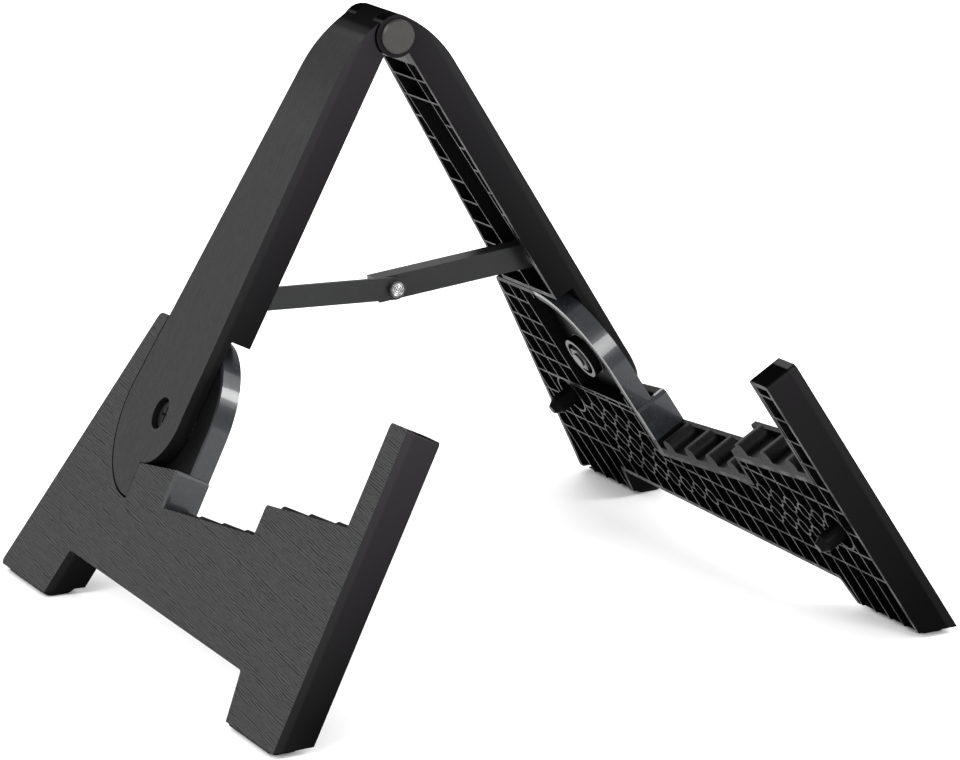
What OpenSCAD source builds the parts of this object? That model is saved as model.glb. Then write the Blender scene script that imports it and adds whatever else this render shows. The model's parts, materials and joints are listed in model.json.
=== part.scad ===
// Folding guitar stand: two ribbed side panels hinged at the top.
// Each panel is an arm and a foot that swings on the arm's lower end.
// A two-link brace locks the arms open just past its straight line.
// World frame: X to the right, Y to the rear, Z up, floor at Z = 0.
// Panel frame: x to the rear from the foot's front edge, y up the slope
// from the hinge axis, z outwards from the plane where the panels meet.

/* [Stand] */
// Lean of each side panel from upright, degrees
spread_angle = 29; // [26:0.1:31]
// Fall of the hinge axis towards the rear, degrees
hinge_fall = 1.6; // [0:0.1:3]
// Slope distance from the foot pivot to the front of the leg bottoms
leg_reach = 79.2; // [77:0.1:85]
// Thickness of a side panel
panel_t = 14.4; // [13:0.1:16]
// Gap from each inner face to the plane where the panels meet
half_gap = 0.9; // [0.8:0.05:1.2]
// Running clearance between parts that move
run_gap = 0.3; // [0.2:0.05:0.5]
// Radial clearance of pins in their bores
fit_gap = 0.08; // [0.04:0.01:0.1]

/* [Arm] */
// Thickness of the arm's lower plate
plate_t = 5.7; // [5:0.1:6.5]
// Radius of the arm's nose round the foot pivot
nose_r = 19.4; // [18:0.1:20]
// Clearance of the arm's round heel inside the foot's drum
heel_gap = 0.8; // [0.4:0.1:2]
// Lean of the arm's front edge, degrees
front_lean = 4.7; // [3:0.1:6]
// Lean of the arm's rear edge, degrees
rear_lean = 12.5; // [11:0.1:13]
// Slope distance from the end of the deep channel to the foot's drum
channel_end = 0.5; // [0.5:0.1:3]
// Radius of the curve that carries the outer face into the hinge
shoulder_r = 50; // [40:1:60]

/* [Walls] */
// Thickness of the side walls
wall_t = 2; // [1.6:0.1:2.6]
// Thickness of the outer skin
skin_t = 2.4; // [2:0.1:2.8]
// Thickness of the stiffening ribs
rib_t = 0.9; // [0.7:0.1:1.3]
// Spacing of the cross ribs
rib_pitch = 10.5; // [10:0.1:11.5]
// Spacing of the long ribs in the foot
long_rib_pitch = 10.5; // [10:0.1:11.2]

/* [Hinge] */
// Radius of the hinge barrel
barrel_r = 8; // [7:0.1:8.5]
// Radius of the hinge pin
pin_r = 2.5; // [2:0.1:3]
// Front face of the hinge barrel, ahead of the foot pivot
barrel_front = 33.6; // [33:0.1:34]
// Length of the whole hinge barrel
barrel_len = 33; // [31:0.1:33.5]
// Share of the barrel length that the middle knuckle takes, percent
knuckle_percent = 50; // [40:1:60]
// Radius of the pin's caps
cap_r = 6.4; // [5.5:0.1:6.5]
// Thickness of the pin's caps
cap_t = 1.6; // [1.2:0.1:2]

/* [Foot pivot] */
// Distance of the foot pivot ahead of the back of the foot's heel
pivot_x = 82.8; // [80.8:0.1:84.8]
// Slope distance from the brace pivots to the foot's drum
pivot_drop = 16.4; // [15.4:0.1:17.4]
// Radius of the pivot screw's shank
screw_r = 2.9; // [2.5:0.1:3.2]
// Radius of the pivot screw's head
screw_head_r = 5.2; // [4.8:0.1:5.6]
// Radius of the foot's drum and of the recess round the arm's heel
drum_r = 34; // [33.6:0.1:35]
// Swing of the foot about its pivot, degrees
fold_swing = 60; // [50:1:60]
// Radius of the path of the stop boss round the pivot
stop_path_r = 16.5; // [16.2:0.1:16.6]
// Radius of the stop boss
stop_boss_r = 2.3; // [1.8:0.1:2.6]

/* [Foot] */
// Length of the foot from its front edge to the back of its heel
foot_len = 278.8; // [274:0.1:284]
// Width of the upright at the front of the foot
upright_w = 14.3; // [12:0.1:18]
// Height of the upright above the hinge line's leg reach
upright_h = 112.7; // [104:0.1:114]
// Length of the front leg along the foot
front_leg_w = 45; // [40:0.1:56]
// Height of the foot's underside at the front leg
arch_front_h = 11.7; // [9:0.1:14]
// Height of the foot's underside at the rear leg
arch_rear_h = 18.2; // [16:0.1:20]
// Front of the rear leg, ahead of the back of the heel
rear_leg_x = 54.8; // [48.8:0.1:62.8]
// Depth of the lower shelf from its riser to the drum
lower_shelf_w = 80.5; // [76:0.1:82]
// Height of the foot pivot above the lower shelf's front
lower_shelf_h = 23.5; // [21.2:0.1:26.2]
// Fall of both shelves towards the drum, degrees
shelf_fall = 5; // [3:0.1:6.5]
// Step up from the lower shelf to the upper shelf
shelf_step = 11.7; // [10:0.1:14]

/* [Soft parts] */
// Thickness of the bumper band round the drum
bumper_t = 2; // [1.6:0.1:2.4]
// Height of the bumper's lower block
bumper_block_h = 14.5; // [12:0.1:15]
// Depth of the shelf pads below the shelf
pad_depth = 6; // [5.5:0.1:6.5]
// Thickness of the pads' strip under the ridges
pad_strip_t = 2.5; // [2:0.1:3]
// Rise of the pads' ridges above the shelf
ridge_rise = 1.4; // [0.4:0.1:1.6]
// Radius of the pads' ridges
ridge_r = 3.8; // [3:0.1:4]
// Number of ridges on the lower pad
lower_ridges = 4; // [3:1:5]
// Number of ridges on the upper pad
upper_ridges = 3; // [2:1:4]
// Thickness of the floor pads under the legs
floor_pad_t = 2.4; // [2:0.1:4]

/* [Brace] */
// Slope distance from the hinge axis to the brace pivots
brace_drop = 110.6; // [108:0.1:112]
// Height of the brace pivots above the panels' meeting plane
brace_lift = 6.6; // [6:0.1:7]
// Dip of each link below level when the stand is open, degrees
brace_dip = 4; // [2:0.1:6]
// Height of the flat link
bar_h = 8.4; // [7:0.1:9]
// Thickness of the flat link
bar_t = 2.5; // [2:0.1:3]
// Height of the channel link
channel_h = 9.2; // [8:0.1:9.6]
// Width of the channel link
channel_w = 9.2; // [8:0.1:10]
// Thickness of the sheet steel of the brace
sheet_t = 1.5; // [1.2:0.1:1.8]
// Radius of the brace's rivets and bolt
rivet_r = 2; // [1.6:0.1:2.2]
// Front face of the flat link, ahead of the foot pivot
brace_x = 15.8; // [15:0.1:17]

/* [Hidden] */

// Overrun of cuts past the faces that they open
over = 1;
// Facets of plain round forms
$fn = 64;
// Steps in a rounded corner of an outline
corner_steps = 5;
// Corner radii of the moulded outlines
soft_r = 1.5;
tip_r = 4;
heel_bevel = 4;

// Places behind the foot's front edge and down the slope from the hinge axis
pivot_run = foot_len - pivot_x;
rear_leg_run = foot_len - rear_leg_x;
barrel_start = pivot_run - barrel_front;
brace_run = pivot_run - brace_x;
pivot_depth = brace_drop + pivot_drop + drum_r;
channel_depth = pivot_depth - drum_r - channel_end;
floor_depth = pivot_depth + leg_reach;

// Foot outline, in the panel frame
upright_top = upright_h - floor_depth;
foot_top = -(pivot_depth - drum_r);
shelf_y = -pivot_depth - lower_shelf_h;
shelf_x = pivot_run - drum_r - lower_shelf_w;
upper_y = shelf_y + shelf_step;
leg_under = 20;
leg_bottom = -floor_depth - leg_under;
front_leg_flare = 4;
rear_leg_flare = 15;
rear_pad_share = 0.6;
heel_run = 47.8;
heel_lift = 2.2;
tip_x = foot_len - heel_run;
heel_y = heel_lift - floor_depth;
drum_floor = panel_t - plate_t - run_gap;
pivot_at = [pivot_run, -pivot_depth];

// Floor plane and the stand's place in the world
leg_drop = floor_depth * cos(spread_angle) * cos(hinge_fall);
hinge_h = leg_drop + floor_pad_t;
stand_mid = foot_len / (2 * cos(hinge_fall)) - leg_drop * tan(hinge_fall);

// Arm outline
heel_r = drum_r - heel_gap;
nose_tangent = pivot_at + nose_r * [-cos(front_lean), sin(front_lean)];
heel_tangent = pivot_at + heel_r * [cos(rear_lean), sin(rear_lean)];
stop_edge_x = pivot_run + 0.5 * run_gap;
block_fall = 6.6;
top_y = barrel_r + over;
pocket_top = 13;
shoulder_drop = sqrt(pow(shoulder_r - barrel_r, 2) - pow(shoulder_r - panel_t, 2));
shoulder_turn = atan2(shoulder_r - panel_t, shoulder_drop);

// Stop boss and its slot
stop_angle = 127;
slot_gap = 0.5;
stop_boss_end = 4.3;

// Pivot screw, washer and nut
head_seat = 10.4;
rim_gap = 1;
screw_head_t = 2;
cross_len = 6;
cross_w = 1.2;
cross_depth = 1;
boss_r = 8.7;
boss_wall = 1.6;
boss_rim = 2.4;
washer_t = 0.8;
washer_r = 6.4;
screw_end = 1.2;
nut_end = 1.9;
nut_r = 5.4;
washer_seat = panel_t - plate_t - run_gap - skin_t - run_gap - washer_t;

// Foot ribs and the space round the pivot boss
drum_space_w = 14;
drum_space_h = 15.5;
foot_long_ribs = 9;
underside_rise = atan2(arch_rear_h - arch_front_h, rear_leg_run - front_leg_w);

// Closing pegs
front_peg_x = 18;
front_peg_lift = 42.2;
rear_peg_run = 33.5;
rear_peg_drop = 24.2;
peg_points = [[front_peg_x, front_peg_lift - floor_depth],
    [pivot_run + rear_peg_run, -pivot_depth - rear_peg_drop]];
peg_r = 3.6;
peg_len = 9;
peg_tip = 3;
socket_gap = 1.2;
peg_well_r = 8.5;

// Round wells on the crossings of the foot's ribs: their outer radius, and
// rows of [long rib, first cross rib, last cross rib]
well_r = 3.9;
well_rows = [[2, 3, 7], [3, 3, 7], [1, 13, 20], [2, 16, 20], [3, 17, 20]];

// Floor pads
pad_inset = 1;
rear_rise = 16;
pad_round_r = 12;
pad_flat = 0.4;

// Hinge caps
cap_edge = 0.6;

// Brackets, rivets and the centre bolt
lug_r = 4.6;
base_len = 17;
base_w = 7;
screw_inset = 3;
small_head_r = 1.8;
small_head_t = 1;
rivet_head_r = 3.2;
rivet_head_t = 1;
bolt_head_r = 3.2;
bolt_head_t = 2;
channel_reach = 6;

// Hinge segments
knuckle_len = barrel_len * knuckle_percent / 100;
knuckle_front = barrel_start + (barrel_len - knuckle_len) / 2;
knuckle_rear = knuckle_front + knuckle_len;
barrel_rear = barrel_start + barrel_len;

// Brace geometry
link_angle = spread_angle - brace_dip;
link_len = (brace_drop * sin(spread_angle) + brace_lift * cos(spread_angle)) / cos(brace_dip);
channel_x = brace_run + bar_t + run_gap;
trough_gap = 2.5;
trough_top = brace_drop - link_len - channel_reach - trough_gap;
trough_front = brace_run - bolt_head_t - trough_gap;
trough_rear = channel_x + channel_w + run_gap + rivet_head_t + trough_gap;
trough_bottom = brace_drop + base_len / 2 + run_gap;

// Points of an outline with its corners rounded to the radii given
function unit(v) = v / norm(v);
function polar(r, a) = r * [cos(a), sin(a)];
function turn(a) = a > 180 ? a - 360 : a < -180 ? a + 360 : a;
function corner(p, c, q, r) =
    let (u = unit(p - c), v = unit(q - c), h = acos(u * v) / 2,
        m = c + unit(u + v) * r / sin(h),
        s = c + u * r / tan(h) - m, e = c + v * r / tan(h) - m,
        a = atan2(s[1], s[0]), b = turn(atan2(e[1], e[0]) - a))
    [for (i = [0:corner_steps]) m + r * [cos(a + b * i / corner_steps), sin(a + b * i / corner_steps)]];
function rounded(pts, radii) = let (n = len(pts))
    [for (i = [0:n - 1]) each radii[i] == 0 ? [pts[i]]
        : corner(pts[(i + n - 1) % n], pts[i], pts[(i + 1) % n], radii[i])];

// Outline moved inwards by d, for points that run anticlockwise
function edge_in(p, q, d) = let (t = unit(q - p)) [p + d * [-t[1], t[0]], t];
function meet(a, b) = let (k = a[1][0] * b[1][1] - a[1][1] * b[1][0], w = b[0] - a[0])
    abs(k) < 0.0001 ? b[0] : a[0] + a[1] * (w[0] * b[1][1] - w[1] * b[1][0]) / k;
function inset(pts, d) = let (n = len(pts))
    [for (i = [0:n - 1]) meet(edge_in(pts[(i + n - 1) % n], pts[i], d), edge_in(pts[i], pts[(i + 1) % n], d))];

// Panel frames: what is drawn in the panel frame is stood on its side
module right_panel() {
    translate([0, -stand_mid, hinge_h])
        rotate([-hinge_fall, 0, 0])
            rotate([0, -spread_angle, 0])
                rotate([90, 0, 90])
                    children();
}
module left_panel() {
    mirror([1, 0, 0])
        right_panel()
            children();
}

// Level cut through the legs, at the top of the floor pads
module below(level) {
    far = 2 * foot_len;
    translate([-far / 2, -far / 2, level - far])
        cube(far);
}

// Foot outlines
shelf_slope = tan(shelf_fall);
block_step = 1;
shelf_end = [pivot_run - drum_r - block_step, shelf_y - shelf_slope * (lower_shelf_w - block_step)];
block_top = shelf_end[1] + bumper_block_h;
block_back = pivot_run - drum_r + bumper_t;
block_bevel = 1.2;
upper_front = [upright_w, upper_y + shelf_slope * (shelf_x - upright_w)];
function foot_points() = [
    [0, leg_bottom],
    [front_leg_w - front_leg_flare, leg_bottom],
    [front_leg_w + front_leg_flare, arch_front_h - floor_depth],
    [rear_leg_run, arch_rear_h - floor_depth],
    [rear_leg_run + rear_leg_flare, leg_bottom],
    [foot_len - 2 * heel_bevel, leg_bottom],
    [foot_len - heel_bevel, heel_y - heel_bevel],
    [foot_len, heel_y],
    [tip_x, foot_top],
    [pivot_run, foot_top],
    [pivot_run, foot_top - bumper_t],
    [pivot_run - drum_r + bumper_t, -pivot_depth],
    [pivot_run - drum_r + bumper_t, shelf_end[1]],
    shelf_end,
    [shelf_x, shelf_y],
    [shelf_x, upper_y],
    upper_front,
    [upright_w, upright_top],
    [0, upright_top]];
function core_points() = [
    [0, leg_bottom],
    [front_leg_w - front_leg_flare, leg_bottom],
    [front_leg_w + front_leg_flare, arch_front_h - floor_depth],
    [rear_leg_run, arch_rear_h - floor_depth],
    [rear_leg_run + rear_leg_flare, leg_bottom],
    [foot_len - 2 * heel_bevel, leg_bottom],
    [foot_len - heel_bevel, heel_y - heel_bevel],
    [foot_len, heel_y],
    [tip_x, foot_top],
    [pivot_run, foot_top],
    [pivot_run - drum_r + bumper_t, -pivot_depth],
    [pivot_run - drum_r + bumper_t, shelf_end[1] - pad_depth],
    [shelf_x, shelf_y - pad_depth],
    [shelf_x, upper_y - pad_depth],
    upper_front - [0, pad_depth],
    [upright_w, upright_top],
    [0, upright_top]];
foot_radii = [0, soft_r, soft_r, soft_r, soft_r, 0, soft_r, soft_r, tip_r, 0, 0, 0, 0, 0, 0, soft_r, 0,
    soft_r, soft_r];

module foot_outline() {
    polygon(rounded(foot_points(), foot_radii));
    translate(pivot_at)
        circle(r = drum_r - bumper_t);
}

// Raised block under the arm's nose: the heel rests on its rear edge, and
// its top falls towards the front
module stop_block() {
    far = 2 * drum_r;
    intersection() {
        translate(pivot_at)
            rotate(-block_fall)
                translate([-far, -far - nose_r - run_gap])
                    square([2 * far, far]);
        translate([stop_edge_x - run_gap - far, -pivot_depth - far])
            square(far);
    }
}

// Space in the outer layer that the arm's lower plate swings through
module arm_recess() {
    difference() {
        union() {
            translate(pivot_at)
                circle(r = drum_r);
            translate([pivot_run - drum_r - over, -pivot_depth - drum_r])
                square([drum_r + over, drum_r]);
            behind_arm(heel_gap);
        }
        stop_block();
    }
}

// Part of the recess above the drum, up to the arm's rear edge and a gap
module behind_arm(gap) {
    far = foot_top + over;
    edge = heel_tangent + gap * [cos(rear_lean), sin(rear_lean)];
    polygon([pivot_at, edge, edge + (far - edge[1]) * [-tan(rear_lean), 1], [pivot_run, far]]);
}

// Round-ended slot that the stop boss runs in
module stop_slot() {
    slot_r = stop_boss_r + slot_gap;
    translate(pivot_at) {
        intersection() {
            difference() {
                circle(r = stop_path_r + slot_r);
                circle(r = stop_path_r - slot_r);
            }
            polygon([[0, 0], polar(2 * drum_r, stop_angle), polar(2 * drum_r, stop_angle + fold_swing / 2),
                polar(2 * drum_r, stop_angle + fold_swing)]);
        }
        for (a = [stop_angle, stop_angle + fold_swing])
            translate(polar(stop_path_r, a))
                circle(r = slot_r);
    }
}

// Region of the foot's pockets, before the ribs
module pocket_region() {
    polygon(inset(core_points(), wall_t));
    translate(pivot_at)
        circle(r = drum_r - bumper_t - wall_t);
}

// Open part of the drum round the pivot boss, kept free of ribs
module drum_space() {
    intersection() {
        translate(pivot_at)
            circle(r = drum_r - bumper_t - wall_t);
        translate([pivot_run - drum_r, -pivot_depth - drum_space_h])
            square([drum_r + drum_space_w, drum_r + drum_space_h]);
    }
}

// Ribs of the foot: long ones along the underside and cross ones up the slope
module foot_ribs() {
    difference() {
        union() {
            for (x = [rib_pitch:rib_pitch:foot_len])
                translate([x, leg_bottom])
                    square([rib_t, floor_depth]);
            for (i = [1:foot_long_ribs])
                translate([0, arch_front_h - floor_depth + i * long_rib_pitch])
                    rotate(underside_rise)
                        translate([-foot_len / 2, 0])
                            square([2 * foot_len, rib_t]);
        }
        drum_space();
    }
    translate([pivot_run - drum_r, -pivot_depth - drum_space_h - rib_t])
        square([2 * drum_r + drum_r / 2, rib_t]);
    translate([pivot_run + drum_space_w, -pivot_depth - drum_space_h])
        square([rib_t, 2 * drum_r]);
}

// Discs round the closing pegs
module peg_places(r) {
    for (p = peg_points)
        translate(p)
            circle(r = r);
}

// Discs on the crossings of the long ribs with the cross ribs
module crossings(r) {
    for (w = well_rows)
        for (k = [w[1]:w[2]])
            let (x = k * rib_pitch + rib_t / 2)
            translate([x, arch_front_h - floor_depth + w[0] * long_rib_pitch + x * tan(underside_rise) + rib_t / 2])
                circle(r = r);
}

// Open cells of the foot: between the ribs, in the round wells, and round
// the pegs, whose sockets in the other foot are rings round clear holes
module foot_cells(socket) {
    difference() {
        pocket_region();
        foot_ribs();
        crossings(well_r);
        peg_places(peg_well_r);
    }
    intersection() {
        pocket_region();
        crossings(well_r - rib_t);
    }
    difference() {
        peg_places(peg_well_r - rib_t);
        if (socket)
            peg_places(peg_r + socket_gap + rib_t);
    }
    if (socket)
        peg_places(peg_r + socket_gap);
}

module layer(from, to) {
    translate([0, 0, from])
        linear_extrude(to - from)
            children();
}

module foot_solid(socket) {
    difference() {
        layer(half_gap, panel_t)
            foot_outline();
        layer(drum_floor, panel_t + over)
            arm_recess();
        layer(-over, drum_floor - skin_t)
            foot_cells(socket);
        layer(-over, panel_t - skin_t)
            difference() {
                foot_cells(socket);
                translate(pivot_at)
                    circle(r = drum_r + wall_t);
                translate([pivot_run - drum_r, -pivot_depth - drum_r])
                    square([drum_r, drum_r]);
                behind_arm(heel_gap + wall_t);
            }
        layer(-over, panel_t - wall_t) {
            slot_cut(lower_line(), 0);
            slot_cut(upper_line(), over);
        }
        layer(drum_floor - skin_t - over, drum_floor + over)
            stop_slot();
        translate([pivot_run, -pivot_depth, -over])
            cylinder(h = panel_t, r = screw_r + fit_gap);
    }
    translate([pivot_run, -pivot_depth, boss_rim])
        difference() {
            cylinder(h = drum_floor - 0.5 * skin_t - boss_rim, r = boss_r);
            translate([0, 0, -over])
                cylinder(h = panel_t, r = boss_r - boss_wall);
        }
}

// Shelf pads: a strip let in behind the outer skin, with round ridges
function lower_line() = [shelf_end, [shelf_x, shelf_y]];
function upper_line() = [[shelf_x, upper_y], upper_front];
module slot_cut(line, past) {
    start = line[0] + past * unit(line[0] - line[1]);
    polygon([start + [0, over], line[1] + [0, over], line[1] - [0, pad_depth], start - [0, pad_depth]]);
}
module shelf_pad(line, ridges) {
    strip_top = pad_depth - pad_strip_t;
    layer(half_gap, panel_t - wall_t) {
        polygon([line[0] - [0, strip_top], line[1] - [0, strip_top], line[1] - [0, pad_depth],
            line[0] - [0, pad_depth]]);
        for (i = [1:ridges])
            let (c = line[0] + (line[1] - line[0]) * (i - 0.5) / ridges) {
                intersection() {
                    translate(c + [0, ridge_rise - ridge_r])
                        circle(r = ridge_r);
                    translate(c + [-ridge_r, ridge_rise - ridge_r - over])
                        square(2 * ridge_r);
                }
                translate(c - [ridge_r, strip_top + 0.5 * pad_strip_t])
                    square([2 * ridge_r, strip_top + 0.5 * pad_strip_t + ridge_rise - ridge_r]);
            }
    }
}

// Bumper: a band round the drum's front and a block under it
module bumper() {
    layer(half_gap, drum_floor) {
        intersection() {
            translate(pivot_at)
                difference() {
                    circle(r = drum_r);
                    circle(r = drum_r - bumper_t);
                }
            translate([pivot_run - 2 * drum_r, -pivot_depth])
                square([2 * drum_r, 2 * drum_r]);
        }
        translate([pivot_run - drum_r, block_top])
            square([bumper_t, -pivot_depth - block_top]);
    }
    layer(half_gap, panel_t)
        polygon([shelf_end, [block_back, shelf_end[1]], [block_back, block_top],
            [shelf_end[0] + block_bevel, block_top], [shelf_end[0], block_top - block_bevel]]);
}

// Arm outline: tapered blade running into the nose and the heel
front_top = nose_tangent + (top_y - nose_tangent[1]) * [-tan(front_lean), 1];
rear_top = heel_tangent + (top_y - heel_tangent[1]) * [-tan(rear_lean), 1];
function front_at(y) = nose_tangent[0] - (y - nose_tangent[1]) * tan(front_lean);
function rear_at(y) = heel_tangent[0] - (y - heel_tangent[1]) * tan(rear_lean);
module arm_outline() {
    polygon([front_top, nose_tangent, pivot_at, heel_tangent, rear_top]);
    translate(pivot_at)
        circle(r = nose_r);
    intersection() {
        translate(pivot_at)
            circle(r = heel_r);
        translate([stop_edge_x, -pivot_depth - 2 * heel_r])
            square(4 * heel_r);
    }
}

// Side view of the arm's deep part, drawn in y and z and run along x
module arm_profile() {
    rotate([90, 0, 90])
        linear_extrude(foot_len) {
            translate([-channel_depth, half_gap])
                square([channel_depth - shoulder_drop, panel_t - half_gap]);
            intersection() {
                translate([-shoulder_drop, panel_t - shoulder_r])
                    circle(r = shoulder_r, $fn = 128);
                rotate(shoulder_turn)
                    translate([-2 * shoulder_r, 0])
                        square([4 * shoulder_r, 2 * shoulder_r]);
                translate([-shoulder_drop - over, half_gap])
                    square([2 * shoulder_r, 2 * shoulder_r]);
            }
        }
}

// Cylinder along the hinge axis
module barrel(from, to, r) {
    translate([from, 0, 0])
        rotate([0, 90, 0])
            cylinder(h = to - from, r = r);
}

// Pockets between the arm's ribs, with a clear trough for the brace
module arm_cells() {
    difference() {
        polygon(inset([[front_at(-pocket_top), -pocket_top], [front_at(-channel_depth), -channel_depth],
            [rear_at(-channel_depth), -channel_depth], [rear_at(-pocket_top), -pocket_top]], wall_t));
        for (x = [trough_front - rib_t, trough_rear])
            translate([x, -channel_depth])
                square([rib_t, channel_depth]);
        for (y = [pocket_top + rib_pitch:rib_pitch:channel_depth - rib_pitch / 2])
            translate([0, -y])
                square([foot_len, rib_t]);
    }
    translate([trough_front, -trough_bottom])
        square([trough_rear - trough_front, trough_bottom - trough_top]);
}

module arm_solid(solid_knuckles, open_knuckles, bore_r) {
    difference() {
        union() {
            intersection() {
                layer(half_gap, panel_t)
                    arm_outline();
                arm_profile();
            }
            layer(panel_t - plate_t, panel_t)
                intersection() {
                    arm_outline();
                    translate([0, -channel_depth - foot_len])
                        square([foot_len, foot_len + over]);
                }
            for (k = solid_knuckles)
                barrel(k[0], k[1], barrel_r);
            translate([pivot_run, -pivot_depth, stop_boss_end])
                translate(concat(polar(stop_path_r, stop_angle), 0))
                    cylinder(h = panel_t - plate_t - stop_boss_end, r = stop_boss_r);
        }
        for (k = open_knuckles)
            barrel(k[0], k[1], barrel_r + run_gap);
        barrel(0, foot_len, bore_r);
        layer(-over, panel_t - skin_t)
            arm_cells();
        translate([pivot_run, -pivot_depth, 0])
            cylinder(h = 2 * panel_t, r = screw_r);
        translate([pivot_run, -pivot_depth, head_seat])
            cylinder(h = panel_t, r = screw_head_r + rim_gap);
    }
}
module left_arm() {
    color("#262626")
        left_panel()
            arm_solid([[knuckle_front + run_gap, knuckle_rear - run_gap]],
                [[0, knuckle_front + run_gap], [knuckle_rear - run_gap, foot_len]], pin_r);
}
module right_arm() {
    color("#262626")
        right_panel()
            arm_solid([[barrel_start, knuckle_front], [knuckle_rear, barrel_rear]],
                [[knuckle_front, knuckle_rear]], pin_r + fit_gap);
}

// Hinge pin and its caps
module hinge_pin() {
    color("#9a9a9a")
        left_panel()
            barrel(barrel_start - run_gap, barrel_rear + run_gap, pin_r);
}
module cap_form() {
    rotate([0, 90, 0])
        rotate_extrude()
            polygon([[0, 0], [cap_r, 0], [cap_r, cap_t - cap_edge], [cap_r - cap_edge, cap_t], [0, cap_t]]);
}
module hinge_cap_front() {
    color("#333333")
        left_panel()
            translate([barrel_start - run_gap, 0, 0])
                mirror([1, 0, 0])
                    cap_form();
}
module hinge_cap_rear() {
    color("#333333")
        left_panel()
            translate([barrel_rear + run_gap, 0, 0])
                cap_form();
}

// Brace brackets: a lug round the rivet on a base strip along the trough
module bracket(lug_x, base_from, base_to) {
    color("#b5b5b5") {
        difference() {
            union() {
                barrel_at(lug_x, lug_x + sheet_t, lug_r);
                translate([lug_x, -brace_drop - lug_r, brace_lift])
                    cube([sheet_t, 2 * lug_r, panel_t - skin_t - brace_lift]);
                translate([base_from, -brace_drop - base_len / 2, panel_t - skin_t - sheet_t])
                    cube([base_to - base_from, base_len, sheet_t]);
            }
            barrel_at(lug_x - over, lug_x + sheet_t + over, rivet_r);
        }
    }
}
module barrel_at(from, to, r) {
    translate([0, -brace_drop, brace_lift])
        barrel(from, to, r);
}
module bracket_screws(x) {
    color("#8a8a8a")
        for (s = [-1, 1])
            translate([x, -brace_drop + s * (base_len / 2 - screw_inset),
                panel_t - skin_t - sheet_t - small_head_t])
                cylinder(h = small_head_t, r = small_head_r);
}
left_lug_x = brace_run + bar_t + run_gap;
right_lug_x = channel_x - run_gap - sheet_t;
module left_brace_bracket() {
    left_panel()
        bracket(left_lug_x, left_lug_x, left_lug_x + base_w);
}
module right_brace_bracket() {
    right_panel()
        bracket(right_lug_x, right_lug_x + sheet_t - base_w, right_lug_x + sheet_t);
}
module left_bracket_screws() {
    left_panel()
        bracket_screws(left_lug_x + base_w - base_w / 2 + sheet_t / 2);
}
module right_bracket_screws() {
    right_panel()
        bracket_screws(right_lug_x + sheet_t - base_w / 2 - sheet_t / 2);
}

// Rivets of the links, with a head at each end
module rivet(from, to) {
    color("#c0c0c0") {
        barrel_at(from, to, rivet_r);
        barrel_at(from - rivet_head_t, from, rivet_head_r);
        barrel_at(to, to + rivet_head_t, rivet_head_r);
    }
}
module left_link_rivet() {
    left_panel()
        rivet(brace_run - run_gap, left_lug_x + sheet_t);
}
module right_link_rivet() {
    right_panel()
        rivet(right_lug_x, channel_x + channel_w + run_gap);
}

// Links, drawn along x from their rivet, with their thickness up z
module place_link(x) {
    translate([x, -brace_drop, brace_lift])
        rotate([0, 90, 0])
            rotate([0, 0, link_angle])
                children();
}
module bar_form() {
    difference() {
        linear_extrude(bar_t) {
            translate([0, -bar_h / 2])
                square([link_len, bar_h]);
            for (x = [0, link_len])
                translate([x, 0])
                    circle(r = bar_h / 2);
        }
        translate([0, 0, -over])
            cylinder(h = channel_w, r = rivet_r + fit_gap);
        translate([link_len, 0, -over])
            cylinder(h = channel_w, r = rivet_r);
    }
}
module channel_form() {
    difference() {
        linear_extrude(channel_w) {
            translate([0, -channel_h / 2])
                square([link_len + channel_reach, channel_h]);
            circle(r = channel_h / 2);
        }
        translate([-channel_h, -channel_h, sheet_t])
            cube([2 * link_len, 2 * channel_h - channel_h / 2 - sheet_t, channel_w - 2 * sheet_t]);
        translate([0, 0, -over])
            cylinder(h = 2 * channel_w, r = rivet_r + fit_gap);
        translate([link_len, 0, -over])
            cylinder(h = sheet_t + 2 * over, r = rivet_r);
    }
}
module left_link() {
    color("#3a3a3c")
        left_panel()
            place_link(brace_run)
                bar_form();
}
module right_link() {
    color("#3a3a3c")
        right_panel()
            place_link(channel_x)
                channel_form();
}

// Centre bolt in the flat link and its nut in the channel link
module brace_bolt() {
    color("#c8c8c8")
        left_panel()
            place_link(brace_run)
                translate([link_len, 0, 0]) {
                    cylinder(h = bar_t, r = rivet_r);
                    translate([0, 0, -bolt_head_t])
                        cylinder(h = bolt_head_t, r = bolt_head_r);
                }
}
module brace_nut() {
    color("#c8c8c8")
        right_panel()
            place_link(channel_x)
                translate([link_len, 0, 0]) {
                    cylinder(h = sheet_t, r = rivet_r);
                    translate([0, 0, sheet_t])
                        cylinder(h = bolt_head_t, r = bolt_head_r, $fn = 6);
                }
}

// Feet, each cut level in the stand's own place
module left_foot() {
    color("#454545")
        difference() {
            left_panel()
                foot_solid(true);
            below(floor_pad_t);
        }
}
module right_foot() {
    color("#454545")
        difference() {
            right_panel() {
                foot_solid(false);
                for (p = peg_points)
                    translate([p[0], p[1], -peg_len])
                        closing_peg();
            }
            below(floor_pad_t);
        }
}
module closing_peg() {
    translate([0, 0, peg_tip])
        cylinder(h = peg_len + panel_t - peg_tip - 0.5 * skin_t, r = peg_r);
    cylinder(h = peg_tip, r1 = 0.5 * peg_r, r2 = peg_r);
}

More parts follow.
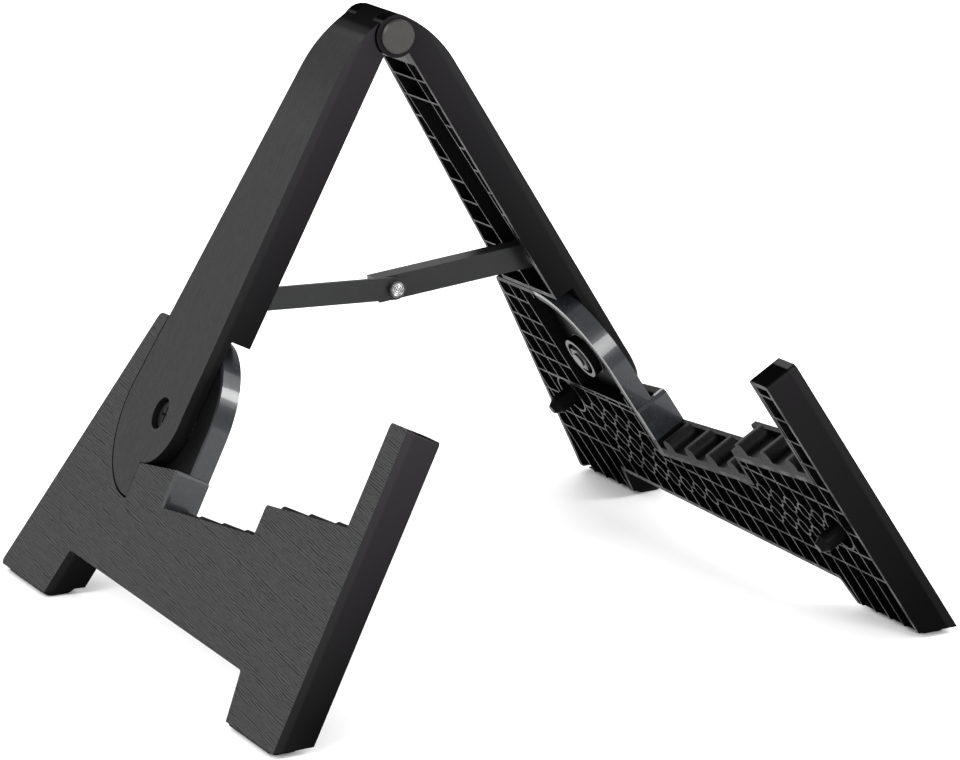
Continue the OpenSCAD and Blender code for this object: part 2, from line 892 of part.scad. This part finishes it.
module left_bumper() {
    color("#5d6068")
        left_panel()
            bumper();
}
module right_bumper() {
    color("#5d6068")
        right_panel()
            bumper();
}
module left_lower_pad() {
    color("#1a1a1a")
        left_panel()
            shelf_pad(lower_line(), lower_ridges);
}
module right_lower_pad() {
    color("#1a1a1a")
        right_panel()
            shelf_pad(lower_line(), lower_ridges);
}
module left_upper_pad() {
    color("#1a1a1a")
        left_panel()
            shelf_pad(upper_line(), upper_ridges);
}
module right_upper_pad() {
    color("#1a1a1a")
        right_panel()
            shelf_pad(upper_line(), upper_ridges);
}

// Floor pads, from the floor up to the level cut of the legs, with their
// long sides rounded
module pad_slab() {
    translate([-foot_len, -foot_len, 0])
        cube([2 * foot_len, 2 * foot_len, floor_pad_t]);
}
module pad_round() {
    drop = hinge_h / cos(hinge_fall) + panel_t / 2 * sin(spread_angle);
    translate([drop * tan(spread_angle) + panel_t / 2 * cos(spread_angle), -stand_mid,
        pad_round_r - pad_flat])
        rotate([-90, 0, atan(tan(hinge_fall) * tan(spread_angle))])
            cylinder(h = foot_len, r = pad_round_r);
}
module leg_pad(from, to) {
    intersection() {
        right_panel()
            layer(half_gap + pad_inset, panel_t - pad_inset)
                translate([from, leg_bottom])
                    square([to - from, leg_under + rear_rise]);
        pad_slab();
        pad_round();
    }
}
module front_pad_form() {
    leg_pad(pad_inset, front_leg_w - 2 * pad_inset);
}
module rear_pad_form() {
    leg_pad(rear_leg_run + rear_pad_share * rear_leg_flare, foot_len - 2 * heel_bevel);
}
module left_front_floor_pad() {
    color("#161616")
        mirror([1, 0, 0])
            front_pad_form();
}
module right_front_floor_pad() {
    color("#161616")
        front_pad_form();
}
module left_rear_floor_pad() {
    color("#161616")
        mirror([1, 0, 0])
            rear_pad_form();
}
module right_rear_floor_pad() {
    color("#161616")
        rear_pad_form();
}

// Pivot screw, washer and nut
module pivot_screw() {
    color("#2e2e2e")
        translate([pivot_run, -pivot_depth, 0])
            difference() {
                union() {
                    translate([0, 0, screw_end])
                        cylinder(h = head_seat - screw_end, r = screw_r);
                    translate([0, 0, head_seat])
                        cylinder(h = screw_head_t, r = screw_head_r);
                }
                translate([0, 0, head_seat + screw_head_t - cross_depth])
                    for (a = [0, 90])
                        rotate(a)
                            translate([-cross_len / 2, -cross_w / 2, 0])
                                cube([cross_len, cross_w, panel_t]);
            }
}
module pivot_washer() {
    color("#3c3c3c")
        translate([pivot_run, -pivot_depth, washer_seat])
            difference() {
                cylinder(h = washer_t, r = washer_r);
                translate([0, 0, -over])
                    cylinder(h = washer_t + 2 * over, r = screw_r);
            }
}
module pivot_nut() {
    color("#9c9c9c")
        translate([pivot_run, -pivot_depth, nut_end])
            difference() {
                cylinder(h = washer_seat - nut_end, r = nut_r, $fn = 6);
                translate([0, 0, -over])
                    cylinder(h = panel_t, r = screw_r);
            }
}
module left_pivot_screw() {
    left_panel()
        pivot_screw();
}
module right_pivot_screw() {
    right_panel()
        pivot_screw();
}
module left_pivot_washer() {
    left_panel()
        pivot_washer();
}
module right_pivot_washer() {
    right_panel()
        pivot_washer();
}
module left_pivot_nut() {
    left_panel()
        pivot_nut();
}
module right_pivot_nut() {
    right_panel()
        pivot_nut();
}

left_arm();
right_arm();
hinge_pin();
hinge_cap_front();
hinge_cap_rear();
left_brace_bracket();
right_brace_bracket();
left_bracket_screws();
right_bracket_screws();
left_link_rivet();
right_link_rivet();
left_link();
right_link();
brace_bolt();
brace_nut();
left_foot();
right_foot();
left_bumper();
right_bumper();
left_lower_pad();
right_lower_pad();
left_upper_pad();
right_upper_pad();
left_front_floor_pad();
right_front_floor_pad();
left_rear_floor_pad();
right_rear_floor_pad();
left_pivot_screw();
right_pivot_screw();
left_pivot_washer();
right_pivot_washer();
left_pivot_nut();
right_pivot_nut();
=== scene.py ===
import json
import math

import bpy
from mathutils import Matrix, Vector

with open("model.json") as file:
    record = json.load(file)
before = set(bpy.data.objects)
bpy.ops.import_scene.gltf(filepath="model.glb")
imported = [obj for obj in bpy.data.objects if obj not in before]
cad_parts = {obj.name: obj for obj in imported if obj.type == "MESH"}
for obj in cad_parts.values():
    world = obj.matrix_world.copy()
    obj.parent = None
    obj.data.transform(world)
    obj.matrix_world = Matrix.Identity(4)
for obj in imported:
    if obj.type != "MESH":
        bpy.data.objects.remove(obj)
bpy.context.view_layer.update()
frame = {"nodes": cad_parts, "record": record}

NODES = frame["nodes"]
SLOTS = {s["node"]: s["material_slot"] for s in frame["record"]["subparts"]}
MM = 0.001
UP = (0, 0, 1)

# The stand's own measures, as in the frame, with faces counted from its closed middle plane
LEAN = math.radians(29)
FALL = math.radians(1.6)
INNER_FACE = 0.9 * MM
OUTER_FACE = 14.4 * MM
SKIN_T = 2.4 * MM
FOOT_LEN = 278.8 * MM
LEG_REACH = 240.2 * MM
FLOOR_PAD = 2.4 * MM
PIVOT_RUN = 196 * MM
PIVOT_DEPTH = 161 * MM
BOSS_R = 8.7 * MM

# Where the hinge axis passes the feet's front edges
LEG_DROP = LEG_REACH * math.cos(LEAN) * math.cos(FALL)
HINGE_Z = LEG_DROP + FLOOR_PAD
HINGE_FRONT_Y = -(FOOT_LEN / (2 * math.cos(FALL)) - LEG_DROP * math.tan(FALL))
HINGE_FRONT = Vector((0, HINGE_FRONT_Y, HINGE_Z))

# Camera, placed from the photograph's perspective
PHOTO_W = 960
FOCAL_PX = 6717.6
SENSOR_MM = 36.0
CAM_AZ = math.radians(23.34)
CAM_EL = math.radians(13.215)
CAM_ROLL = math.radians(-3.825)
CAM_FROM_HINGE = Vector((-936.8, -2063.7, 436.5)) * MM
CAM_CLIP = (0.1, 50)


def fall(v):
    """Turns a vector from the hinge's own frame into the world."""
    return Matrix.Rotation(-FALL, 3, "X") @ Vector(v)


REAR = fall((0, 1, 0))


def make_camera():
    """Camera at its place before the hinge's front end, rolled as in the photograph."""
    level = Vector((math.sin(CAM_AZ), math.cos(CAM_AZ), 0))
    look = level * math.cos(CAM_EL) - Vector(UP) * math.sin(CAM_EL)
    right = Vector((math.cos(CAM_AZ), -math.sin(CAM_AZ), 0))
    up = right.cross(look)
    rolled_right = right * math.cos(CAM_ROLL) + up * math.sin(CAM_ROLL)
    rolled_up = up * math.cos(CAM_ROLL) - right * math.sin(CAM_ROLL)
    turn = Matrix([fall(v) for v in (rolled_right, rolled_up, -look)]).transposed().to_4x4()
    data = bpy.data.cameras.new("camera")
    data.sensor_width = SENSOR_MM
    data.lens = FOCAL_PX * SENSOR_MM / PHOTO_W
    data.clip_start, data.clip_end = CAM_CLIP
    cam = bpy.data.objects.new("camera", data)
    bpy.context.scene.collection.objects.link(cam)
    cam.matrix_world = Matrix.Translation(HINGE_FRONT + fall(CAM_FROM_HINGE)) @ turn
    bpy.context.scene.camera = cam


class Tree:
    """A material's node tree, with short calls to add nodes."""

    def __init__(self, name):
        self.mat = bpy.data.materials.new(name)
        self.mat.use_nodes = True
        self.nt = self.mat.node_tree
        self.nt.nodes.clear()
        out = self.nt.nodes.new("ShaderNodeOutputMaterial")
        self.bsdf = self.nt.nodes.new("ShaderNodeBsdfPrincipled")
        self.nt.links.new(self.bsdf.outputs[0], out.inputs[0])

    def put(self, socket, value):
        if isinstance(value, bpy.types.NodeSocket):
            self.nt.links.new(value, socket)
        else:
            socket.default_value = value

    def node(self, kind, inputs=(), **props):
        n = self.nt.nodes.new(kind)
        for k, v in props.items():
            setattr(n, k, v)
        for k, v in dict(inputs).items():
            self.put(n.inputs[k], v)
        return n

    def math(self, op, a, b=0.0, clamp=False):
        return self.node("ShaderNodeMath", {0: a, 1: b}, operation=op, use_clamp=clamp).outputs[0]

    def plus(self, a, b):
        return self.math("ADD", a, b)

    def minus(self, a, b):
        return self.math("SUBTRACT", a, b)

    def times(self, a, b):
        return self.math("MULTIPLY", a, b)

    def hypot(self, a, b):
        return self.math("SQRT", self.plus(self.times(a, a), self.times(b, b)))

    def ramp(self, value, span):
        """Rises from 0 to 1 over the span, which may run downwards."""
        return self.node("ShaderNodeMapRange",
                         {"Value": value, "From Min": span[0], "From Max": span[1]}).outputs[0]

    def noise(self, vector, scale, detail, rough=0.5):
        return self.node("ShaderNodeTexNoise", {"Vector": vector, "Scale": scale,
                                                "Detail": detail, "Roughness": rough}).outputs[0]

    def mix(self, fac, a, b):
        n = self.nt.nodes.new("ShaderNodeMix")
        n.data_type = "RGBA"
        self.put(n.inputs["Factor"], fac)
        self.put(n.inputs[6], a)
        self.put(n.inputs[7], b)
        return n.outputs[2]

    def bump(self, height, strength, distance):
        return self.node("ShaderNodeBump", {"Height": height, "Strength": strength,
                                            "Distance": distance}).outputs[0]

    def here(self):
        return self.node("ShaderNodeTexCoord").outputs["Object"]

    def dot(self, a, direction):
        n = self.node("ShaderNodeVectorMath", {0: a, 1: tuple(direction)}, operation="DOT_PRODUCT")
        return n.outputs["Value"]

    def measure(self, origin, *directions):
        """Distances from a point along some directions."""
        n = self.node("ShaderNodeVectorMath", {0: self.here(), 1: tuple(origin)},
                      operation="SUBTRACT")
        return [self.dot(n.outputs["Vector"], d) for d in directions]

    def facing(self, direction):
        return self.dot(self.node("ShaderNodeTexCoord").outputs["Normal"], direction)

    def shade(self, **values):
        """Sets or links the shader's sockets and returns the material."""
        for k, v in values.items():
            self.put(self.bsdf.inputs[k.replace("_", " ")], v)
        return self.mat


GREEN_OF_BLUE = 0.3


def grey(v, blue=0.0):
    """Grey of one brightness, with a share of blue added and a little green with it."""
    return (v, v * (1 + GREEN_OF_BLUE * blue), v * (1 + blue), 1)


# Spans over which a face begins to count, by the cosine of its angle to a direction
SKYWARD = (0.6, 0.9)
OUTWARD = (0.55, 0.9)
INWARD = (-0.8, -0.97)
ENDWARD = (0.5, 0.9)

# Spans over which a place in a panel begins to count
NEAR_OUTER_FACE = (OUTER_FACE - 4.4 * MM, OUTER_FACE - 1.5 * MM)
NEAR_INNER_FACE = (INNER_FACE + 0.6 * MM, INNER_FACE + 0.2 * MM)
WALL_DEPTH = (INNER_FACE, OUTER_FACE)
BEHIND_SKIN = (OUTER_FACE - SKIN_T - 0.2 * MM, OUTER_FACE - SKIN_T - 1.2 * MM)
SHOULDER_SHADE_RISE = (-40 * MM, -8 * MM)
BELOW_HINGE = (-11 * MM, -12.5 * MM)
BOSS_EDGE = (BOSS_R + 0.5 * MM, BOSS_R + 0.1 * MM)

# Grain of the outer faces: long waves, turned a little, broken up by noise
GRAIN_PITCH = 0.8 * MM
GRAIN_TURN = math.radians(7)
GRAIN_STRETCH = 0.13
WAVE_REPEAT = 0.314
WAVE = {"Scale": 1.0, "Distortion": 13.0, "Detail": 4.0, "Detail Scale": 0.55,
        "Detail Roughness": 0.62}
BREAKS = dict(scale=3.2, detail=3.0, rough=0.6)
GRAIN_TONES = (0.33, 0.67)
GRAIN_DEPTH = 0.3 * MM
GRAIN_STRENGTH = 0.55
WAVE_SHARE = 0.5
FINE = dict(scale=1900.0, detail=2.0)
FINE_SHARE = 0.2

# Tones of the moulded parts
FACE_BLUE = 0.03
WALL_BLUE = 0.05
INNER_WALL_GREY = grey(0.0015)
# Painted sheen: a lighter tint laid on the end walls towards their upper end
PAINTED_SHEEN_TINT = (0.02, 0.0175, 0.02, 1)
# Painted shade: the outer face is darkened on the upward-facing shoulder by the hinge
SHOULDER_SHADE_GREY = grey(0.003)
SHOULDER_SHADE_SHARE = 0.8
# Painted highlights: pale rib edges inside the cells, patchy in brightness
RIB_EDGE_HIGHLIGHT_GREYS = (grey(0.011), grey(0.07))
RIM_PATCHES = dict(scale=120.0, detail=2.0)
RIM_PATCH_TONES = (0.4, 0.62)
# Painted highlight: the inward face of the boss around each pivot, pale grey
BOSS_HIGHLIGHT_GREY = grey(0.17)

# Their roughness and gloss, and what each place adds or takes
WALL_ROUGH = 0.4
FACE_ADDS_ROUGH = 0.18
WALL_GLOSS = 0.1
FACE_ADDS_GLOSS = 0.12
SKY_TAKES_GLOSS = 0.07
LOW_TAKES_GLOSS = 0.035
DEEP_TAKES_GLOSS = 0.05

# Arms and feet: way of the grain, tone and contrast of the face, painted sheen and edge tone of
# the end walls
MOULDED = {
    "arm": dict(upright=True, base=0.0125, contrast=0.25, span=(-150 * MM, 10 * MM),
                painted_light_share={"left": 0.7, "right": 0.35}, edge={"left": 0.005, "right": 0.005}),
    # The right foot's end walls get a darker edge tone than the left's as painted shade
    "foot": dict(upright=False, base=0.0145, contrast=0.95, span=(-235 * MM, -120 * MM),
                 painted_light_share={"left": 0.7, "right": 0.22}, edge={"left": 0.005, "right": 0.0012}),
}


def grain_height(t, run, across, depth):
    """Height of the wood-like grain, about 0 to 1."""
    a = t.plus(t.times(run, math.cos(GRAIN_TURN)), t.times(across, math.sin(GRAIN_TURN)))
    b = t.minus(t.times(across, math.cos(GRAIN_TURN)), t.times(run, math.sin(GRAIN_TURN)))
    k = WAVE_REPEAT / GRAIN_PITCH
    place = t.node("ShaderNodeCombineXYZ", {0: t.times(a, k * GRAIN_STRETCH), 1: t.times(b, k),
                                            2: t.times(depth, k)}).outputs[0]
    wave = t.node("ShaderNodeTexWave", dict(WAVE, Vector=place),
                  wave_type="BANDS", bands_direction="Y").outputs[1]
    broken = t.noise(place, **BREAKS)
    return t.plus(t.times(wave, WAVE_SHARE), t.times(broken, 1 - WAVE_SHARE))


def moulded(side, kind):
    """Moulded panel: grained face with painted shoulder shade, satin end walls with painted sheen,
    black cells with painted highlights on rib edges and boss.
    """
    look = MOULDED[kind]
    sign = -1 if side == "left" else 1
    t = Tree(side + "_" + kind + "_plastic")
    upslope = fall((-sign * math.sin(LEAN), 0, math.cos(LEAN)))
    outward = fall((sign * math.cos(LEAN), 0, math.sin(LEAN)))
    x, y, n = t.measure(HINGE_FRONT, REAR, upslope, outward)
    facing = t.facing(outward)
    grain = grain_height(t, y, x, n) if look["upright"] else grain_height(t, x, y, n)

    # Masks of the places that look different, among them painted shade and painted highlights
    outer = t.times(t.ramp(facing, OUTWARD), t.ramp(n, NEAR_OUTER_FACE))
    # Painted shade over the hinge shoulder, rising towards the hinge
    shoulder_shade = t.times(t.ramp(y, SHOULDER_SHADE_RISE), SHOULDER_SHADE_SHARE)
    inner = t.ramp(facing, INWARD)
    # Painted highlight on the rib edges, where small fillets would catch light
    rim = t.times(t.times(inner, t.ramp(n, NEAR_INNER_FACE)), t.ramp(y, BELOW_HINGE))
    from_pivot = t.hypot(t.minus(x, PIVOT_RUN), t.plus(y, PIVOT_DEPTH))
    # Painted highlight on the boss around the pivot
    boss_highlight = t.times(inner, t.ramp(from_pivot, BOSS_EDGE))
    end_wall = t.ramp(t.math("ABSOLUTE", t.facing(REAR)), ENDWARD)
    low, high = look["span"]
    # Painted sheen: end walls lighter towards their upper end, darker below
    painted_sheen = t.times(t.times(t.ramp(y, (low, high)), end_wall), look["painted_light_share"][side])
    low_wall = t.times(t.ramp(y, (high, low)), end_wall)

    # Colour
    dark, light = (look["base"] * (1 + s * look["contrast"]) for s in (-1, 1))
    face = t.mix(t.ramp(grain, GRAIN_TONES), grey(dark), grey(light, FACE_BLUE))
    face = t.mix(shoulder_shade, face, SHOULDER_SHADE_GREY)
    wall = t.mix(t.ramp(n, WALL_DEPTH), INNER_WALL_GREY, grey(look["edge"][side], WALL_BLUE))
    wall = t.mix(painted_sheen, wall, PAINTED_SHEEN_TINT)
    patchy = t.ramp(t.noise(t.here(), **RIM_PATCHES), RIM_PATCH_TONES)
    colour = t.mix(outer, wall, face)
    colour = t.mix(rim, colour, t.mix(patchy, *RIB_EDGE_HIGHLIGHT_GREYS))
    colour = t.mix(boss_highlight, colour, BOSS_HIGHLIGHT_GREY)

    # Gloss
    gloss = t.times(t.math("SUBTRACT", outer, shoulder_shade, clamp=True), FACE_ADDS_GLOSS)
    gloss = t.plus(WALL_GLOSS, gloss)
    for where, less in ((t.ramp(t.facing(UP), SKYWARD), SKY_TAKES_GLOSS),
                        (low_wall, LOW_TAKES_GLOSS),
                        (t.ramp(n, BEHIND_SKIN), DEEP_TAKES_GLOSS)):
        gloss = t.minus(gloss, t.times(where, less))

    # Relief
    fine = t.noise(t.here(), **FINE)
    height = t.plus(t.times(grain, outer), t.times(fine, FINE_SHARE))
    return t.shade(Base_Color=colour, Specular_IOR_Level=gloss,
                   Roughness=t.plus(WALL_ROUGH, t.times(outer, FACE_ADDS_ROUGH)),
                   Normal=t.bump(height, GRAIN_STRENGTH, GRAIN_DEPTH))


# Plain finishes: tones, roughness, mottling, metal, clear coat, gloss, loss of gloss on top faces
PLAIN = {
    "pad_rubber": dict(lo=grey(0.0015), hi=grey(0.004), rough=0.45, scale=1400, bump=0.3,
                       spec=0.08),
    "bumper_gloss": dict(lo=grey(0.009, 0.3), hi=grey(0.014, 0.32), rough=0.27, scale=500,
                         bump=0.03, coat=0.3, spec=0.35, dull_top=0.6),
    "brace_paint": dict(lo=grey(0.007, 0.08), hi=grey(0.011, 0.1), rough=0.34, scale=1200,
                        bump=0.08, spec=0.25, dull_top=0.85),
    "bracket_steel": dict(lo=grey(0.42), hi=grey(0.55), rough=0.38, scale=800, bump=0.1,
                          metallic=1.0),
    "bright_steel": dict(lo=grey(0.5), hi=grey(0.62), rough=0.28, scale=900, bump=0.06,
                         metallic=1.0),
    "nut_steel": dict(lo=grey(0.1), hi=grey(0.16), rough=0.5, scale=900, bump=0.1,
                      metallic=1.0),
    "screw_black": dict(lo=grey(0.006), hi=grey(0.012), rough=0.3, scale=1200, bump=0.1),
    "cap_plastic": dict(lo=(0.013, 0.0115, 0.011, 1), hi=(0.02, 0.0175, 0.0165, 1), rough=0.36,
                        scale=1500, bump=0.1),
}
FINE_DETAIL = 3.0
BROAD_DETAIL = 2.0
BROADER = 14
FINE_PART = 0.6
MOTTLE_TONES = (0.35, 0.65)
MOTTLE_ROUGH = 0.12
MOTTLE_DEPTH = 0.2 * MM


def plain(name, lo, hi, rough, scale, bump, metallic=0.0, coat=0.0, spec=0.4, dull_top=0.0):
    """Solid finish with fine mottling in its colour, gloss and surface."""
    t = Tree(name)
    fine = t.noise(t.here(), scale, FINE_DETAIL)
    broad = t.noise(t.here(), scale / BROADER, BROAD_DETAIL)
    mottle = t.plus(t.times(fine, FINE_PART), t.times(broad, 1 - FINE_PART))
    t.shade(Metallic=metallic, Coat_Weight=coat, Specular_IOR_Level=spec,
            Base_Color=t.mix(t.ramp(mottle, MOTTLE_TONES), lo, hi),
            Roughness=t.plus(rough - MOTTLE_ROUGH / 2, t.times(broad, MOTTLE_ROUGH)),
            Normal=t.bump(fine, bump, MOTTLE_DEPTH))
    if dull_top:
        less = t.times(t.ramp(t.facing(UP), SKYWARD), spec * dull_top)
        t.shade(Specular_IOR_Level=t.minus(spec, less))
    return t.mat


# End of the brace's bolt: ringed bright steel with a black rim
BOLT_RIM = (2.3 * MM, 2.5 * MM)
BOLT_RING_PITCH = 0.75 * MM
BOLT_RING_DEPTH = 0.3 * MM
BOLT_RING_STRENGTH = 0.5
BOLT_SPECKS = dict(scale=1500.0, detail=3.0)
BOLT_TONES = (0.0, 1.2)
BOLT_GREYS = (grey(0.12), grey(0.62))
BOLT_RIM_GREY = grey(0.01)
BOLT_ROUGH = 0.24
SPECKS_ADD_ROUGH = 0.12


def ringed_bolt(node):
    """Bright threaded end with a black rim, by distance from the bolt's own axis."""
    t = Tree("bolt_end_steel")
    box = [node.matrix_world @ Vector(c) for c in node.bound_box]
    r = t.hypot(*t.measure(sum(box, Vector()) / len(box), (1, 0, 0), fall(UP)))
    rim = t.ramp(r, BOLT_RIM)
    groove = t.math("SINE", t.times(r, 2 * math.pi / BOLT_RING_PITCH))
    speck = t.noise(t.here(), **BOLT_SPECKS)
    steel = t.mix(t.ramp(t.plus(groove, speck), BOLT_TONES), *BOLT_GREYS)
    return t.shade(Base_Color=t.mix(rim, steel, BOLT_RIM_GREY), Metallic=t.minus(1.0, rim),
                   Roughness=t.plus(BOLT_ROUGH, t.times(speck, SPECKS_ADD_ROUGH)),
                   Normal=t.bump(groove, BOLT_RING_STRENGTH, BOLT_RING_DEPTH))


# Rounding of sharp edges, in mm, on the pieces of each side
EDGE_MM = {"arm": 0.5, "foot": 0.35, "bumper": 0.4, "lower_pad": 0.3, "upper_pad": 0.3,
           "link": 0.3, "front_floor_pad": 0.5, "rear_floor_pad": 0.5, "brace_bracket": 0.2,
           "pivot_nut": 0.2, "pivot_washer": 0.15, "pivot_screw": 0.2}
EDGE_STEPS = 2
SHARP_FROM = math.radians(40)


def round_edges(obj, width):
    """Small rounding of a node's sharp edges."""
    bevel = obj.modifiers.new("soft_edges", "BEVEL")
    bevel.width = width
    bevel.segments = EDGE_STEPS
    bevel.limit_method = "ANGLE"
    bevel.angle_limit = SHARP_FROM


def dress():
    """Gives every node its material, by its own name or else by its slot, and the listed pieces
    soft edges.
    """
    looks = {name: plain(name, **look) for name, look in PLAIN.items()}
    looks["brace_bolt"] = ringed_bolt(NODES["brace_bolt"])
    for side in ("left", "right"):
        for kind in MOULDED:
            looks[side + "_" + kind] = moulded(side, kind)
        looks[side + "_pivot_nut"] = looks["nut_steel"]
        for part, width in EDGE_MM.items():
            round_edges(NODES[side + "_" + part], width * MM)
    for name, obj in NODES.items():
        obj.data.materials.clear()
        obj.data.materials.append(looks.get(name) or looks[SLOTS[name]])


FLOOR_SIZE = 14
FLOOR_WHITE = grey(0.9)
FLOOR_ROUGH = 0.8
FLOOR_GLOSS = 0.1


def make_stage():
    """White floor that keeps the stand's soft shadow."""
    bpy.ops.mesh.primitive_plane_add(size=FLOOR_SIZE, location=(0, 0, 0))
    floor = bpy.context.object
    floor.name = "studio_floor"
    floor.data.materials.append(Tree("studio_white").shade(
        Base_Color=FLOOR_WHITE, Roughness=FLOOR_ROUGH, Specular_IOR_Level=FLOOR_GLOSS))


SKY = 1.0
SKY_IN_GLOSS = 0.55
SKY_BEHIND = 1.0


def make_world():
    """White surroundings, dimmer where they are mirrored."""
    world = bpy.data.worlds.new("studio")
    bpy.context.scene.world = world
    world.use_nodes = True
    nt = world.node_tree
    nt.nodes.clear()
    out = nt.nodes.new("ShaderNodeOutputWorld")
    path = nt.nodes.new("ShaderNodeLightPath")

    def white(strength):
        n = nt.nodes.new("ShaderNodeBackground")
        n.inputs[0].default_value = (1, 1, 1, 1)
        n.inputs[1].default_value = strength
        return n.outputs[0]

    def choose(ray, other, seen):
        n = nt.nodes.new("ShaderNodeMixShader")
        for socket, source in zip(n.inputs, (path.outputs[ray], other, seen)):
            nt.links.new(source, socket)
        return n.outputs[0]

    lit = choose("Is Glossy Ray", white(SKY), white(SKY_IN_GLOSS))
    nt.links.new(choose("Is Camera Ray", lit, white(SKY_BEHIND)), out.inputs[0])


# Lamps: name, place, aim, width and height, watts
LAMPS = (
    ("key", (-1.7, -0.6, 1.6), (0, 0, 0.1), (1.6, 1.6), 44),
    ("fill", (1.7, -0.8, 1.2), (0, 0, 0.1), (1.6, 1.6), 20),
    ("rim", (0.2, 1.8, 1.4), (0, 0, 0.1), (1.6, 1.0), 24),
    ("glint front", (0.05, -1.65, 0.8), (0.08, 0, 0.12), (0.6, 0.6), 18),
    ("glint right", (1.2, -0.8, 0.85), (-0.08, 0, 0.12), (0.35, 0.3), 7),
)


def make_lamps():
    """Area lamps, each turned to its aim."""
    for name, place, aim, size, watts in LAMPS:
        data = bpy.data.lights.new(name, "AREA")
        data.shape = "RECTANGLE"
        data.size, data.size_y = size
        data.energy = watts
        lamp = bpy.data.objects.new(name, data)
        bpy.context.scene.collection.objects.link(lamp)
        lamp.location = place
        lamp.rotation_euler = (Vector(aim) - Vector(place)).to_track_quat("-Z", "Y").to_euler()


make_camera()
dress()
make_stage()
make_world()
make_lamps()
bpy.context.scene.view_settings.view_transform = "Standard"
